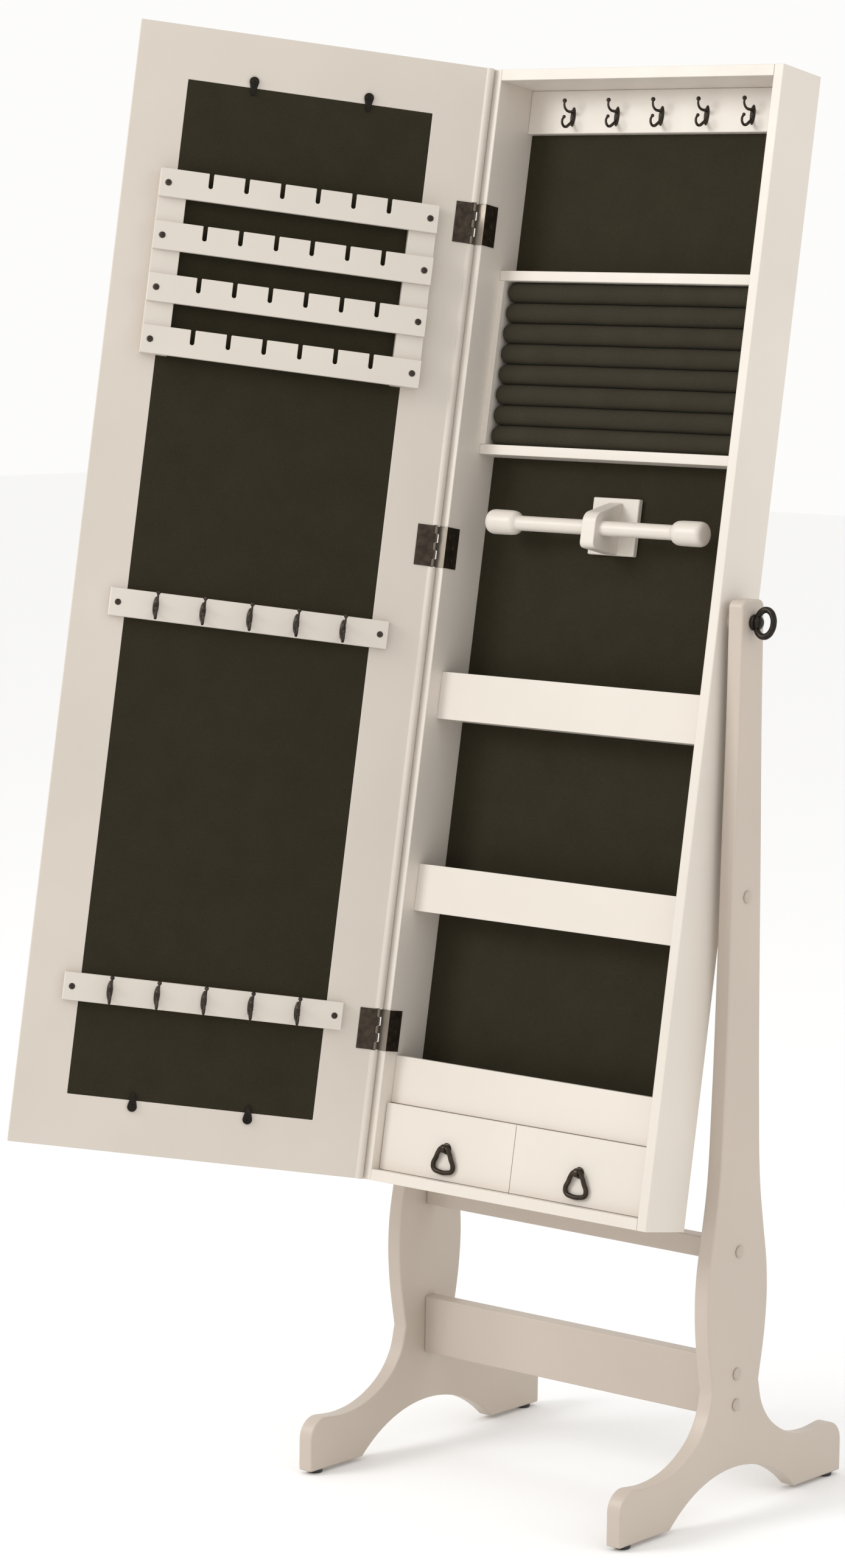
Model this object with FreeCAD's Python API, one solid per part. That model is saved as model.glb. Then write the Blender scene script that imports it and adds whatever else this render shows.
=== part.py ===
import FreeCAD, Part
import math
import os
from FreeCAD import Placement, Rotation, Vector

# Jewelry armoire: a shallow mirror-door cabinet that tilts between the two sides of a stand.
# All sizes are millimetres.  The frame is +X right, +Y back, +Z up, floor at z = 0.
#
# Everything on the cabinet is drawn upright with its door closed, in the case's own frame:
# u to the right from the middle, v back from the front edge of the case, w up from its
# underside.  It is then tilted about the pivot, and the door is opened about its hinge pin.
# Everything on the stand is drawn straight in the part's frame, midway between the posts.

# ---- pose and place ----
TILT = 9.5               # lean of the case at rest, top rearwards, degrees
DOOR_OPEN = 133.0        # opening of the door at rest, degrees
PLACE_X = 104.6          # the middle of the footprint box sits on the frame's origin
PLACE_Y = 105.5

# ---- case ----
CASE_W = 380.0
CASE_H = 1200.0
CASE_D = 68.0
WALL = 12.0              # thickness of sides, top and bottom
BACK_T = 3.0             # back board
FELT_T = 1.5             # felt on the back board and in the bins
PIVOT_V = 25.0           # pivot axis behind the front edge
PIVOT_W = 630.0          # pivot axis above the underside
PIVOT_Z = 933.0          # pivot axis above the floor
IN = CASE_W / 2 - WALL   # inner half width
BACK_V = CASE_D - BACK_T

# ---- inside of the case ----
SHELF_V = 37.5           # front edge of the two shelves
SHELF_T = 11.0
SHELF_LOW_W = 789.5
SHELF_HIGH_W = 978.0
CHEEK_T = 7.0            # boards at each end of the ring rolls
ROLLS = 8
LIP_V = 19.5             # front face of the bin lips
LIP_T = 8.0
LIP_H = 51.0
FLOOR_T = 8.0
BIN_HIGH_W = 500.0
BIN_LOW_W = 292.0
BIN_BOTTOM_W = 84.5
STRIP_W0 = 1141.0        # hook strip across the back, from here up to the top
STRIP_T = 9.5
STRIP_HOOK_W = 1159.0    # middle of its hooks
HOOK_REACH = 20.0
DIVIDER_T = 8.0

# ---- drawers ----
DRAWER_V = 12.5          # front face
DRAWER_H = 71.0
FRONT_T = 10.0
DRAWER_GAP = 0.7
PULL_W = 46.5            # swing axis of the pull above the underside
PULL_OUT = 4.8           # swing axis in front of the drawer
PULL_R = 2.6             # half thickness of the pull's ring
PULL_DROP = 25.0         # its lowest run below the swing axis
PULL_LEAN = 4.6          # the ring hangs back against the drawer, degrees
RUNNING = 0.08           # radial clearance where one piece turns in another

# ---- door ----
DOOR_W = 378.0
DOOR_T = 14.0
DOOR_GAP = 2.5           # door's inner face to the case's front edge
PIN_V = -5.0             # hinge pin in front of the case
PIN_R = 1.5
KNUCKLE_R = 2.8
LEAF_T = 1.0
HINGE_L = 44.0
HINGE_W = (161.0, 683.0, 1032.0)
DOOR_EDGE_R = 6.0        # rounding round the door's outer face
BEAD_R = 4.6             # bead down the hinge edge, centred on the pin, closes the gap there
PANEL_MARGIN = 57.0
MIRROR_LIP = 10.0
MIRROR_T = 4.0
MIRROR_N = 5.0           # depth of the mirror's back face from the inner face
RAIL_LEN = 300.0
RAIL_H = 30.0
STRIP_WIDE = 30.0
RACK_STRIP_T = 10.0
EAR_RAIL_T = 6.0
EAR_RAIL_W = (862.0, 917.5, 973.0, 1029.0)
NOTCH_WIDE = 5.0
NOTCH_DEEP = 16.0
NOTCH_PITCH = 38.4
HOOK_RAIL_W = (171.0, 581.5)
HOOK_RAIL_T = 8.0
HOOK_PITCH = 50.3

# ---- stand ----
SIDE_X = 216.0           # outer face of each stand side
SIDE_T = 18.0
GLIDE_H = 4.0
FOOT_HALF = 197.0
FOOT_FLAT = 111.5        # inner end of each flat sole
ARCH_H = 47.5
POST_TOP = 956.0
POST_HALF = 19.0
BAR_T = 18.0
LOW_BAR_Z = (101.0, 164.0)
HIGH_BAR_Z = (267.0, 289.0)
BOLT_Z = (115.0, 148.0, 278.0)
CAP_Z = BOLT_Z + (650.0,)
BOLT_R = 8.0 / 2         # pivot bolt
EYE_REACH = 10.6         # centreline half sizes of the oval ring on the pivot bolt
EYE_TALL = 13.8
EYE_WIRE = 3.4


def box(x0, x1, y0, y1, z0, z1):
    return Part.makeBox(x1 - x0, y1 - y0, z1 - z0, Vector(x0, y0, z0))


def rod(radius, start, end):
    a, b = Vector(*start), Vector(*end)
    return Part.makeCylinder(radius, (b - a).Length, a, b - a)


def soft_box(x0, x1, y0, y1, z0, z1, radius, axis=None):
    """A box with its edges rounded: all of them, or only those along one axis."""
    solid = box(x0, x1, y0, y1, z0, z1)
    edges = []
    for e in solid.Edges:
        d = e.Vertexes[1].Point - e.Vertexes[0].Point
        if axis is None or abs(d.getAngle(axis) % math.pi) < 0.01:
            edges.append(e)
    return solid.makeFillet(radius, edges)


def rounded(points, radii):
    """A closed wire through the points, each corner rounded by its radius."""
    n = len(points)
    edges = []
    last = None
    first = None
    for i in range(n):
        p = points[i]
        to_a = (points[i - 1] - p).normalize()
        to_b = (points[(i + 1) % n] - p).normalize()
        r = radii[i]
        if r:
            half = to_a.getAngle(to_b) / 2
            reach = r / math.tan(half)
            a = p + to_a * reach
            b = p + to_b * reach
            middle = p + (to_a + to_b).normalize() * (r / math.sin(half) - r)
        else:
            a = b = p
        if last is not None and (a - last).Length > 1e-6:
            edges.append(Part.makeLine(last, a))
        if r:
            edges.append(Part.Arc(a, middle, b).toShape())
        if first is None:
            first = a
        last = b
    if (first - last).Length > 1e-6:
        edges.append(Part.makeLine(last, first))
    return Part.Wire(edges)


def slab(wire, thickness):
    return Part.Face(wire).extrude(thickness)


def tube(points, radius):
    """A round wire bent smoothly through the points."""
    curve = Part.BSplineCurve()
    curve.interpolate(points)
    edge = curve.toShape()
    path = Part.Wire([edge])
    start = curve.tangent(curve.FirstParameter)[0]
    ring = Part.Wire([Part.makeCircle(radius, points[0], start)])
    return path.makePipeShell([ring], True, False)


def joined(solids):
    solids = list(solids)
    shape = solids[0].fuse(solids[1:])
    return shape.removeSplitter()


def group(solids):
    return Part.makeCompound(list(solids))


def mirrored(shape):
    return shape.mirror(Vector(0, 0, 0), Vector(1, 0, 0))


# ---------------------------------------------------------------- stand
PLACE = Placement(Vector(PLACE_X, PLACE_Y, 0), Rotation())
TO_CASE = Placement(Vector(0, 0, PIVOT_Z), Rotation(Vector(1, 0, 0), -TILT))
TO_CASE = TO_CASE.multiply(Placement(Vector(0, -PIVOT_V, -PIVOT_W), Rotation()))
PIN_U = -CASE_W / 2
OPEN = Placement(Vector(PIN_U, PIN_V, 0), Rotation(Vector(0, 0, 1), -DOOR_OPEN))
OPEN = OPEN.multiply(Placement(Vector(-PIN_U, -PIN_V, 0), Rotation()))

nodes = {}


def place(shape, placement):
    moved = shape.copy()
    moved.Placement = placement.multiply(moved.Placement)
    return moved


def on_stand(name, shape):
    nodes[name] = place(shape, PLACE)


def on_case(name, shape):
    nodes[name] = place(shape, PLACE.multiply(TO_CASE))


def on_door(name, shape):
    nodes[name] = place(shape, PLACE.multiply(TO_CASE).multiply(OPEN))


def stand_outline():
    """Post and foot cut from one board, symmetric front to back, as a wire in the YZ plane."""
    def half(sign):
        def p(y, z):
            return Vector(0, sign * y, z)
        corner = 8.0
        top = Part.Arc(p(POST_HALF - corner, POST_TOP),
                       p(POST_HALF - corner + corner * math.sin(math.pi / 4),
                         POST_TOP - corner + corner * math.cos(math.pi / 4)),
                       p(POST_HALF, POST_TOP - corner)).toShape()
        post = Part.BSplineCurve()
        post.interpolate([p(POST_HALF, POST_TOP - corner), p(20.5, 820), p(24, 690),
                          p(27, 560), p(31, 440), p(37.5, 339), p(44.5, 298),
                          p(51.5, 258), p(53.2, 226), p(50.5, 188), p(41, 135)])
        foot = Part.BSplineCurve()
        foot.interpolate([p(41, 135), p(48, 109), p(62, 89), p(84, 73),
                          p(112, 62), p(144, 58), p(174, 60.5)])
        toe = Part.Arc(p(174, 60.5), p(190.5, 54), p(FOOT_HALF, 38)).toShape()
        side = Part.makeLine(p(FOOT_HALF, 38), p(FOOT_HALF, GLIDE_H))
        sole = Part.makeLine(p(FOOT_HALF, GLIDE_H), p(FOOT_FLAT, GLIDE_H))
        return [top, post.toShape(), foot.toShape(), toe, side, sole]
    cap = Part.makeLine(Vector(0, -POST_HALF + 8, POST_TOP), Vector(0, POST_HALF - 8, POST_TOP))
    arch = Part.Arc(Vector(0, -FOOT_FLAT, GLIDE_H), Vector(0, 0, ARCH_H),
                    Vector(0, FOOT_FLAT, GLIDE_H)).toShape()
    return Part.Wire(Part.__sortEdges__([cap, arch] + half(1) + half(-1)))


# Each side of the stand is one board: a slender post that swells above an arched foot.
board = slab(stand_outline(), Vector(SIDE_T, 0, 0))
board.translate(Vector(SIDE_X - SIDE_T, 0, 0))
board = board.cut(rod(BOLT_R + RUNNING, (SIDE_X - SIDE_T - 1, 0, PIVOT_Z), (SIDE_X + 1, 0, PIVOT_Z)))
for z in BOLT_Z:
    board = board.cut(rod(3.3, (SIDE_X - SIDE_T - 1, 0, z), (SIDE_X + 1, 0, z)))
    board = board.cut(rod(6.2, (SIDE_X - 6.5, 0, z), (SIDE_X + 1, 0, z)))
board = board.cut(rod(6.2, (SIDE_X - 6.5, 0, CAP_Z[-1]), (SIDE_X + 1, 0, CAP_Z[-1])))
on_stand("stand_side_right", board)
on_stand("stand_side_left", mirrored(board))

# Two bars tie the sides together under the case, each bolted through from outside.
REACH = SIDE_X - SIDE_T
for name, (z0, z1), levels in (("crossbar_lower", LOW_BAR_Z, BOLT_Z[:2]),
                               ("crossbar_upper", HIGH_BAR_Z, BOLT_Z[2:])):
    bar = soft_box(-REACH, REACH, -BAR_T / 2, BAR_T / 2, z0, z1, 1.5, Vector(1, 0, 0))
    for z in levels:
        bar = bar.cut(rod(3.0, (-REACH - 1, 0, z), (-REACH + 42, 0, z)))
        bar = bar.cut(rod(3.0, (REACH - 42, 0, z), (REACH + 1, 0, z)))
    on_stand(name, bar)

bolts = []
caps = []
for z in CAP_Z:
    cap = rod(6.2, (SIDE_X - 3, 0, z), (SIDE_X + 0.6, 0, z))
    cap = joined([cap, rod(5.2, (SIDE_X + 0.5, 0, z), (SIDE_X + 1.4, 0, z))])
    caps += [cap, mirrored(cap)]
    if z in BOLT_Z:
        bolt = joined([rod(6.0, (SIDE_X - 6.5, 0, z), (SIDE_X - 3.2, 0, z)),
                       rod(3.0, (SIDE_X - 6.5 - 51, 0, z), (SIDE_X - 6.0, 0, z))])
        bolts += [bolt, mirrored(bolt)]
on_stand("crossbar_bolts", group(bolts))
on_stand("bolt_caps", group(caps))

glides = []
for sx in (-1, 1):
    for sy in (-1, 1):
        x, y = sx * (SIDE_X - SIDE_T / 2), sy * (FOOT_HALF - 17)
        glides.append(rod(8.0, (x, y, 0), (x, y, GLIDE_H)))
on_stand("floor_glides", group(glides))

spacer = rod(12.0, (CASE_W / 2 + 0.3, 0, PIVOT_Z), (REACH, 0, PIVOT_Z))
spacer = spacer.cut(rod(BOLT_R + RUNNING, (CASE_W / 2, 0, PIVOT_Z), (REACH + 1, 0, PIVOT_Z)))
on_stand("pivot_spacers", group([spacer, mirrored(spacer)]))

# ---------------------------------------------------------------- pivot bolts
shank = rod(BOLT_R, (CASE_W / 2 - 9.5, PIVOT_V, PIVOT_W), (SIDE_X + 5, PIVOT_V, PIVOT_W))
collar = rod(8.5, (SIDE_X + 0.4, PIVOT_V, PIVOT_W), (SIDE_X + 4.4, PIVOT_V, PIVOT_W))
EYE = Vector(SIDE_X + 4 + EYE_REACH, PIVOT_V, PIVOT_W)
oval = rounded([EYE + Vector(x * EYE_REACH, 0, z * EYE_TALL)
                for x, z in ((-1, 1), (1, 1), (1, -1), (-1, -1))], [EYE_REACH - 0.3] * 4)
bar_end = Part.Wire([Part.makeCircle(EYE_WIRE, EYE + Vector(0, 0, EYE_TALL), Vector(1, 0, 0))])
eye = oval.makePipeShell([bar_end], True, False)
ring_bolt = joined([shank, collar, eye])
on_case("ring_bolt_right", ring_bolt)
on_case("ring_bolt_left", mirrored(ring_bolt))

INSERT_R = 6.5
insert = rod(INSERT_R, (CASE_W / 2 - 10, PIVOT_V, PIVOT_W), (CASE_W / 2, PIVOT_V, PIVOT_W))
insert = insert.cut(rod(BOLT_R + RUNNING, (CASE_W / 2 - 11, PIVOT_V, PIVOT_W),
                        (CASE_W / 2 + 1, PIVOT_V, PIVOT_W)))
on_case("pivot_inserts", group([insert, mirrored(insert)]))

# ---------------------------------------------------------------- case
side = soft_box(IN, CASE_W / 2, 0, CASE_D, 0, CASE_H, 1.2, Vector(0, 0, 1))
side = side.cut(box(IN - 1, CASE_W / 2 - 6, BACK_V, CASE_D + 1, WALL, CASE_H - WALL))
side = side.cut(rod(INSERT_R, (CASE_W / 2 - 10, PIVOT_V, PIVOT_W), (CASE_W / 2 + 1, PIVOT_V, PIVOT_W)))
on_case("case_side_right", side)
on_case("case_side_left", mirrored(side))
on_case("case_top", box(-IN, IN, 0, CASE_D, CASE_H - WALL, CASE_H))
on_case("case_bottom", box(-IN, IN, 0, CASE_D, 0, WALL))
on_case("case_back", box(-CASE_W / 2 + 6, CASE_W / 2 - 6, BACK_V, CASE_D, WALL, CASE_H - WALL))

# Shelves stop short of the front, so that what hangs on the door has room.
for name, w in (("shelf_lower", SHELF_LOW_W), ("shelf_upper", SHELF_HIGH_W)):
    on_case(name, box(-IN, IN, SHELF_V, BACK_V, w, w + SHELF_T))
ROLL_W0, ROLL_W1 = SHELF_LOW_W + SHELF_T, SHELF_HIGH_W
cheek = box(IN - CHEEK_T, IN, SHELF_V, BACK_V, ROLL_W0, ROLL_W1)
on_case("roll_cheeks", group([cheek, mirrored(cheek)]))

# Eight felt rolls lie between the shelves; rings are pushed into the gaps between them.
pitch = (ROLL_W1 - ROLL_W0 - 0.6) / ROLLS
roll_u = IN - CHEEK_T - 0.3
rolls = [box(-roll_u, roll_u, BACK_V - 6.3, BACK_V - 0.3, ROLL_W0 + 0.3, ROLL_W1 - 0.3)]
for i in range(ROLLS):
    w = ROLL_W0 + 0.3 + (i + 0.5) * pitch
    h = pitch / 2 - 0.6
    finger = soft_box(-roll_u, roll_u, SHELF_V + 2.5, BACK_V - 5, w - h, w + h, 7.5,
                      Vector(1, 0, 0))
    rolls.append(finger)
on_case("ring_rolls", joined(rolls))

# Bins: a floor board behind a tall lip.
BINS = (("bin_floor_upper", "bin_lip_upper", BIN_HIGH_W),
        ("bin_floor_lower", "bin_lip_lower", BIN_LOW_W),
        ("drawer_shelf", "bin_lip_bottom", BIN_BOTTOM_W))
for floor_name, lip_name, w in BINS:
    on_case(lip_name, box(-IN, IN, LIP_V, LIP_V + LIP_T, w, w + LIP_H))
    on_case(floor_name, box(-IN, IN, LIP_V + LIP_T, BACK_V, w, w + FLOOR_T))

# Felt lines the back board between the shelves, and the floor of each bin.
linings = []
LEVELS = ((BIN_BOTTOM_W + FLOOR_T, BIN_LOW_W), (BIN_LOW_W + FLOOR_T, BIN_HIGH_W),
          (BIN_HIGH_W + FLOOR_T, SHELF_LOW_W), (SHELF_HIGH_W + SHELF_T, STRIP_W0))
for w0, w1 in LEVELS:
    linings.append(box(-IN + 0.3, IN - 0.3, BACK_V - FELT_T, BACK_V, w0 + 0.3, w1 - 0.3))
for _, _, w in BINS:
    linings.append(box(-IN + 0.3, IN - 0.3, LIP_V + LIP_T + 0.3, BACK_V - FELT_T - 0.3,
                       w + FLOOR_T, w + FLOOR_T + FELT_T))
on_case("felt_linings", group(linings))
on_case("drawer_divider", box(-DIVIDER_T / 2, DIVIDER_T / 2, DRAWER_V + FRONT_T + 1.5, BACK_V,
                              WALL, BIN_BOTTOM_W))


# A double hook: a small upright plate, a prong curling up in front and one curling under.
def hook():
    """Drawn on a face at v = 0, reaching towards -v, middle at w = 0."""
    plate = soft_box(-3.0, 3.0, -2.0, 0, -10, 10, 2.5, Vector(0, 1, 0))
    up = tube([Vector(0, -1.2, 6), Vector(0, -7, 5), Vector(0, -13, 5.2),
               Vector(0, -17.5, 8.5), Vector(0, -17.8, 13.5)], 1.5)
    ball = Part.makeSphere(2.4, Vector(0, -17.8, 14.2))
    down = tube([Vector(0, -1.2, -6), Vector(0, -6, -9.5), Vector(0, -11, -13),
                 Vector(0, -16, -12), Vector(0, -18.2, -7), Vector(0, -15.6, -3)], 1.6)
    tip = Part.makeSphere(1.9, Vector(0, -15.6, -2.8))
    return joined([plate, up, ball, down, tip])


BASE_HOOK = hook()


def hook_at(u, v, w):
    one = BASE_HOOK.copy()
    one.translate(Vector(u, v, w))
    return one


STRIP_V = BACK_V - STRIP_T
on_case("hook_strip", soft_box(-IN, IN, STRIP_V, BACK_V, STRIP_W0, CASE_H - WALL, 1.0,
                               Vector(1, 0, 0)))
on_case("strip_hooks", group([hook_at(59 * i, STRIP_V, STRIP_HOOK_W) for i in range(-2, 3)]))

# Bracelet bar: a square plate and a tapering arm carry a round bar with a knob at each end.
BAR_V, BAR_W = 27.0, 716.5
PLATE_V = BACK_V - FELT_T - 7
arm = slab(rounded([Vector(-9, PLATE_V + 1, 691), Vector(-9, PLATE_V + 1, 747), Vector(-9, 20, 733),
                    Vector(-9, 13, 725), Vector(-9, 13, 696), Vector(-9, 20, 693)],
                   [0, 0, 5, 5, 4, 5]), Vector(18, 0, 0))
plate = soft_box(-30.5, 30.5, PLATE_V, BACK_V - FELT_T, 691, 752, 1.5, Vector(0, 1, 0))
bracket = joined([arm, plate]).cut(rod(8.1, (-20, BAR_V, BAR_W), (20, BAR_V, BAR_W)))
on_case("bracelet_bracket", bracket)
knob = rod(13.3, (104, BAR_V, BAR_W), (142, BAR_V, BAR_W))
knob = knob.makeFillet(8.0, [e for e in knob.Edges if e.Closed])
on_case("bracelet_bar", joined([rod(8.0, (-110, BAR_V, BAR_W), (110, BAR_V, BAR_W)),
                                knob, mirrored(knob)]))


# ---------------------------------------------------------------- drawers
FRONT_U0, FRONT_U1 = DRAWER_GAP / 2, IN - DRAWER_GAP
FRONT_W0, FRONT_W1 = WALL + DRAWER_GAP, BIN_BOTTOM_W - DRAWER_GAP
PULL_U = (FRONT_U0 + FRONT_U1) / 2
PULL_V = DRAWER_V - PULL_OUT
front = soft_box(FRONT_U0, FRONT_U1, DRAWER_V, DRAWER_V + FRONT_T, FRONT_W0, FRONT_W1, 0.8)
BOX_U0, BOX_U1 = DIVIDER_T / 2 + 0.8, IN - 0.8
BOX_V0, BOX_V1 = DRAWER_V + FRONT_T, BACK_V - 1.0
BOX_W0, BOX_W1 = WALL + 0.5, BIN_BOTTOM_W - 8
tray = box(BOX_U0, BOX_U1, BOX_V0, BOX_V1, BOX_W0, BOX_W1)
tray = tray.cut(box(BOX_U0 + 5, BOX_U1 - 5, BOX_V0 - 1, BOX_V1 - 5, BOX_W0 + 3, BOX_W1 + 1))
staple = soft_box(PULL_U - 3.3, PULL_U + 3.3, PULL_V - 4.4, DRAWER_V, PULL_W - 4.6, PULL_W + 4.6,
                  2.2, Vector(1, 0, 0))
rosette = rod(6.0, (PULL_U, DRAWER_V - 1.2, PULL_W), (PULL_U, DRAWER_V, PULL_W))
staple = joined([staple, rosette])
staple = staple.cut(rod(PULL_R + RUNNING, (PULL_U - 5, PULL_V, PULL_W), (PULL_U + 5, PULL_V, PULL_W)))
PULL_FOOT = PULL_W - PULL_DROP
loop = rounded([Vector(PULL_U - 6.4, PULL_V, PULL_W), Vector(PULL_U + 6.4, PULL_V, PULL_W),
                Vector(PULL_U + 18.0, PULL_V, PULL_FOOT), Vector(PULL_U - 18.0, PULL_V, PULL_FOOT)],
               [3.4, 3.4, 8.5, 8.5])
profile = Part.Wire([Part.makeCircle(PULL_R, Vector(PULL_U, PULL_V, PULL_FOOT), Vector(1, 0, 0))])
pull = loop.makePipeShell([profile], True, False)
pull.rotate(Vector(PULL_U, PULL_V, PULL_W), Vector(1, 0, 0), PULL_LEAN)
for side_name, turn in (("right", lambda s: s), ("left", mirrored)):
    on_case("drawer_front_" + side_name, turn(front))
    on_case("drawer_tray_" + side_name, turn(tray))
    on_case("pull_staple_" + side_name, turn(staple))
    on_case("pull_ring_" + side_name, turn(pull))

# ---------------------------------------------------------------- door, drawn closed
INNER = -DOOR_GAP                 # v of the door's inner face
OUTER = INNER - DOOR_T
D0 = PIN_U                        # u of the door's hinge edge


def at(d):
    """The u of a point d from the hinge edge."""
    return D0 + d


blank = box(at(0), at(DOOR_W), OUTER, INNER, 0, CASE_H)
rim = [e for e in blank.Edges if all(abs(v.Y - OUTER) < 1e-6 for v in e.Vertexes)]
blank = blank.makeFillet(DOOR_EDGE_R, rim)
MID_D = DOOR_W / 2
panel_u = (at(PANEL_MARGIN), at(DOOR_W - PANEL_MARGIN))
panel_w = (PANEL_MARGIN, CASE_H - PANEL_MARGIN)
MIRROR_V = INNER - MIRROR_N
frame = blank.cut(box(panel_u[0], panel_u[1], MIRROR_V - MIRROR_T, INNER + 1, *panel_w))
frame = frame.cut(box(panel_u[0] + MIRROR_LIP, panel_u[1] - MIRROR_LIP, OUTER - 1, INNER,
                      panel_w[0] + MIRROR_LIP, panel_w[1] - MIRROR_LIP))
frame = frame.fuse(rod(BEAD_R, (PIN_U, PIN_V, 0), (PIN_U, PIN_V, CASE_H)))
for w in HINGE_W:
    frame = frame.cut(box(PIN_U - BEAD_R - 1, PIN_U, PIN_V - BEAD_R - 1, PIN_V + BEAD_R + 1,
                          w - HINGE_L / 2 - 0.5, w + HINGE_L / 2 + 0.5))
    frame = frame.cut(box(PIN_U - 1, PIN_U + BEAD_R + 1, INNER, PIN_V + BEAD_R + 1,
                          w - HINGE_L / 2 - 0.5, w + HINGE_L / 2 + 0.5))
    frame = frame.cut(rod(KNUCKLE_R + 0.4, (PIN_U, PIN_V, w - HINGE_L / 2 - 0.5),
                          (PIN_U, PIN_V, w + HINGE_L / 2 + 0.5)))
frame = frame.removeSplitter()
on_door("door_frame", frame)
on_door("mirror", box(panel_u[0] + 0.3, panel_u[1] - 0.3, MIRROR_V - MIRROR_T, MIRROR_V,
                      panel_w[0] + 0.3, panel_w[1] - 0.3))
on_door("mirror_backing", box(panel_u[0] + 0.3, panel_u[1] - 0.3, MIRROR_V, INNER - 0.3,
                              panel_w[0] + 0.3, panel_w[1] - 0.3))


# Four teardrop turn-buttons hold the backing in.
def clip(d, w, point):
    head, tip = 5.2, 1.9
    reach = 13.5
    outline = joined([rod(head, (at(d), INNER, w), (at(d), INNER + 2.4, w)),
                      rod(tip, (at(d), INNER, w + point * reach), (at(d), INNER + 2.4, w + point * reach)),
                      slab(Part.makePolygon([Vector(at(d) - head, INNER, w),
                                             Vector(at(d) + head, INNER, w),
                                             Vector(at(d) + tip, INNER, w + point * reach),
                                             Vector(at(d) - tip, INNER, w + point * reach),
                                             Vector(at(d) - head, INNER, w)]),
                           Vector(0, 2.4, 0))])
    screw = rod(3.2, (at(d), INNER + 2.2, w), (at(d), INNER + 3.4, w))
    return joined([outline, screw])


CLIP_D = 62.0
for i, (d, w, point) in enumerate(((MID_D - CLIP_D, 1150, -1), (MID_D + CLIP_D, 1150, -1),
                                   (MID_D - CLIP_D, 50, 1), (MID_D + CLIP_D, 50, 1))):
    name = "panel_clip_%s_%s" % ("top" if point < 0 else "bottom", "hinge" if d < MID_D else "free")
    on_door(name, clip(d, w, point))

# Earring rack: four notched rails across two upright strips.
RAIL_D0, RAIL_D1 = MID_D - RAIL_LEN / 2, MID_D + RAIL_LEN / 2
RAIL_V = INNER + RACK_STRIP_T
strips = []
for d0 in (RAIL_D0, RAIL_D1 - STRIP_WIDE):
    strips.append(box(at(d0), at(d0 + STRIP_WIDE), INNER, RAIL_V,
                      EAR_RAIL_W[0] - RAIL_H / 2, EAR_RAIL_W[-1] + RAIL_H / 2))
on_door("rack_strips", group(strips))
screws = []


def screw_at(d, v, w):
    head = rod(3.4, (at(d), v - 0.4, w), (at(d), v + 1.0, w))
    return head.makeFillet(0.8, [e for e in head.Edges if e.Closed and abs(e.Vertexes[0].Y - v - 1) < 1e-6])


for i, w in enumerate(EAR_RAIL_W):
    rail = box(at(RAIL_D0), at(RAIL_D1), RAIL_V, RAIL_V + EAR_RAIL_T, w - RAIL_H / 2, w + RAIL_H / 2)
    for k in range(6):
        d = MID_D + (k - 2.5) * NOTCH_PITCH
        foot = w + RAIL_H / 2 - NOTCH_DEEP + NOTCH_WIDE / 2
        rail = rail.cut(box(at(d) - NOTCH_WIDE / 2, at(d) + NOTCH_WIDE / 2, RAIL_V - 1,
                            RAIL_V + EAR_RAIL_T + 1, foot, w + RAIL_H))
        rail = rail.cut(rod(NOTCH_WIDE / 2, (at(d), RAIL_V - 1, foot),
                            (at(d), RAIL_V + EAR_RAIL_T + 1, foot)))
    for d in (RAIL_D0 + 9, RAIL_D1 - 9):
        rail = rail.cut(rod(3.4, (at(d), RAIL_V + EAR_RAIL_T - 0.4, w), (at(d), RAIL_V + EAR_RAIL_T + 1, w)))
        screws.append(screw_at(d, RAIL_V + EAR_RAIL_T, w))
    on_door("earring_rail_%d" % (i + 1), rail)

door_hooks = []
for name, w in (("hook_rail_lower", HOOK_RAIL_W[0]), ("hook_rail_upper", HOOK_RAIL_W[1])):
    rail = box(at(RAIL_D0), at(RAIL_D1), INNER, INNER + HOOK_RAIL_T, w - RAIL_H / 2, w + RAIL_H / 2)
    for d in (RAIL_D0 + 9, RAIL_D1 - 9):
        rail = rail.cut(rod(3.4, (at(d), INNER + HOOK_RAIL_T - 0.4, w), (at(d), INNER + HOOK_RAIL_T + 1, w)))
        screws.append(screw_at(d, INNER + HOOK_RAIL_T, w))
    on_door(name, rail)
    for i in range(-2, 3):
        one = BASE_HOOK.copy()
        one.rotate(Vector(0, 0, 0), Vector(0, 0, 1), 180)
        one.translate(Vector(at(MID_D + i * HOOK_PITCH), INNER + HOOK_RAIL_T, w))
        door_hooks.append(one)
on_door("door_hooks", group(door_hooks))
on_door("door_screws", group(screws))

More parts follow.
